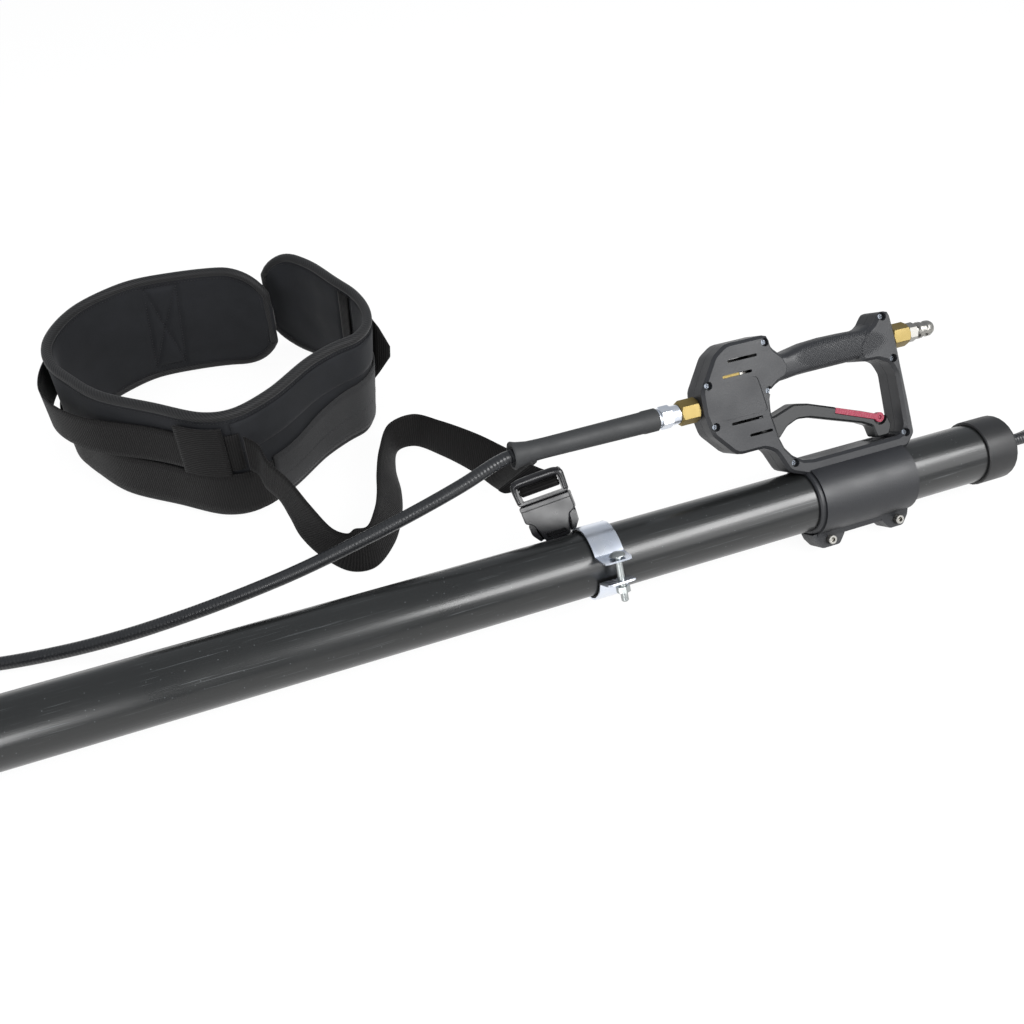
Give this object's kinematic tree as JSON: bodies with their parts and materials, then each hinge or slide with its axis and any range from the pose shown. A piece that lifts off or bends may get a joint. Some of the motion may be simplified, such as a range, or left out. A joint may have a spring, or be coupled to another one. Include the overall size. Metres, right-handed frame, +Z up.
{
  "type": "window cleaning pole system",
  "caption": "Telescopic window cleaning pole with a clamped trigger gun, high-pressure hose and a padded waist belt on a quick-release strap.",
  "frame": {"origin": "middle of the footprint of everything but the hose, on the floor it lies on", "axes": "+X along the pole toward its butt cap, +Y from the pole toward the belt, +Z up"},
  "size_m": [1.5179, 0.5168, 0.1693],
  "materials": {
    "tube_black": "gloss",
    "moulded_black": "satin",
    "buckle_black": "gloss",
    "zinc_plate": "satin",
    "stainless": "satin",
    "brass": "satin",
    "safety_red": "satin",
    "black_rubber": "matte",
    "black_webbing": "woven",
    "padded_fabric": "woven"
  },
  "bodies": {
    "pole": {"anchor_strap": "black_webbing", "back_shell": "moulded_black", "base_lock_collar": "moulded_black", "base_lock_pin": "stainless", "base_tube": "tube_black", "bend_sleeve": "black_rubber", "buckle_socket": "buckle_black", "butt_cap": "moulded_black", "clamp_band": "zinc_plate", "clamp_bolt": "zinc_plate", "clamp_nut": "zinc_plate", "front_shell": "moulded_black", "hose_back": "black_rubber", "hose_coil": "black_rubber", "hose_end": "zinc_plate", "hose_out": "black_rubber", "inlet_adapter": "brass", "inlet_tube": "stainless", "lug_nut_1": "stainless", "lug_nut_2": "stainless", "lug_screw_1": "stainless", "lug_screw_2": "stainless", "outlet_adapter": "brass", "quick_plug": "stainless", "shell_screw_1": "stainless", "shell_screw_2": "stainless", "shell_screw_3": "stainless", "shell_screw_4": "stainless", "shell_screw_5": "stainless", "shell_screw_6": "stainless", "shell_screw_7": "stainless", "shell_screw_8": "stainless", "trigger_pin": "stainless", "valve_body": "brass", "valve_spring": "stainless"},
    "middle_section": {"middle_tube": "tube_black", "middle_guide_ring": "moulded_black", "middle_lock_collar": "moulded_black", "middle_lock_pin": "stainless"},
    "inner_section": {"inner_tube": "tube_black", "inner_guide_ring": "moulded_black", "tip_plug": "moulded_black", "tip_fitting": "brass", "spray_nozzle": "stainless", "inner_hose": "black_rubber"},
    "base_lever": {"base_lock_lever": "moulded_black"},
    "middle_lever": {"middle_lock_lever": "moulded_black"},
    "trigger": {"trigger": "moulded_black", "catch_pin": "stainless"},
    "safety_catch": {"safety_catch": "safety_red"},
    "valve_stem": {"valve_pin": "stainless", "valve_ball": "stainless"},
    "belt_side": {"buckle_plug": "buckle_black", "tether_strap": "black_webbing", "belt_pad": "padded_fabric", "belt_web_upper": "black_webbing", "belt_web_lower": "black_webbing", "belt_loop": "black_webbing", "belt_patch": "black_webbing"}
  },
  "joints": [
    {"name": "middle_slide", "type": "slide", "parent": "pole", "child": "middle_section", "axis": [-1, 0, 0], "range_m": [0, 0.85]},
    {"name": "inner_slide", "type": "slide", "parent": "middle_section", "child": "inner_section", "axis": [-1, 0, 0], "range_m": [0, 0.85]},
    {"name": "base_lock", "type": "hinge", "parent": "pole", "child": "base_lever", "pos_m": [-0.46695, -0.1933, 0.07627], "axis": [-1, 0, 0], "range_deg": [0, 110]},
    {"name": "middle_lock", "type": "hinge", "parent": "middle_section", "child": "middle_lever", "pos_m": [-0.54195, -0.19465, 0.07293], "axis": [-1, 0, 0], "range_deg": [0, 110]},
    {"name": "trigger_squeeze", "type": "hinge", "parent": "pole", "child": "trigger", "pos_m": [0.40755, -0.16077, 0.10434], "axis": [0, -0.8049, 0.5934], "range_deg": [0, 13], "stiffness_Nm_per_rad": 4, "springref_deg": -17.19},
    {"name": "safety_flip", "type": "hinge", "parent": "trigger", "child": "safety_catch", "pos_m": [0.52655, -0.17844, 0.0888], "axis": [0, -0.8049, 0.5934], "range_deg": [-60, 0]},
    {"name": "valve_lift", "type": "slide", "parent": "pole", "child": "valve_stem", "axis": [-1, 0, 0], "range_m": [0, 0.0055], "deforming": ["valve_spring"]},
    {"name": "buckle_release", "type": "slide", "parent": "pole", "child": "belt_side", "axis": [-0.1553, 0.6285, 0.7621], "range_m": [0, 0.04]}
  ],
  "couplings": [
    {"joint": "valve_lift", "follows": "trigger_squeeze", "m_per_rad": 0.024}
  ]
}
